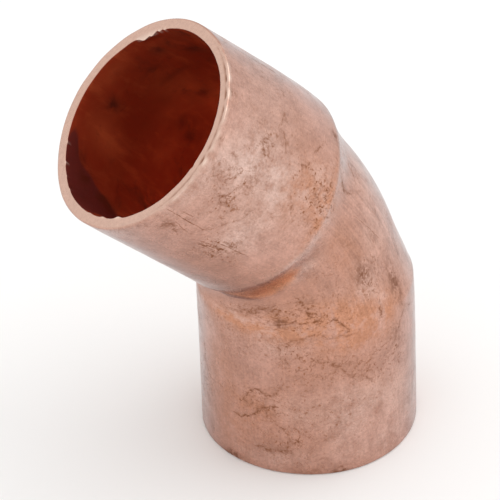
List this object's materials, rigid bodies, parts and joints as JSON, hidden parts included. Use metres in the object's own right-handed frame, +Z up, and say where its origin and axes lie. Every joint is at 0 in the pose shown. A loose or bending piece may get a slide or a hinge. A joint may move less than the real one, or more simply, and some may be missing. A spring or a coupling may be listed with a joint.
{
  "type": "pipe elbow",
  "caption": "Copper pipe elbow that turns a tube run by 45 degrees: one bent tube with a plain solder socket swaged out at each end.",
  "frame": {"origin": "in the plane of the lower rim, under the middle of the elbow's bounding box; the lower socket's axis stands at x = -5.318 mm, y = 0", "axes": "+Z up along the lower socket's axis, away from its mouth; the bend lies in the XZ plane and the upper socket leans 45 degrees towards +X; the XZ plane is the mirror plane"},
  "size_m": [0.0276, 0.0168, 0.0377],
  "materials": {
    "copper": "bare wrought copper, satin, with faint stains"
  },
  "bodies": {
    "root": {"elbow_body": "copper"}
  },
  "joints": []
}
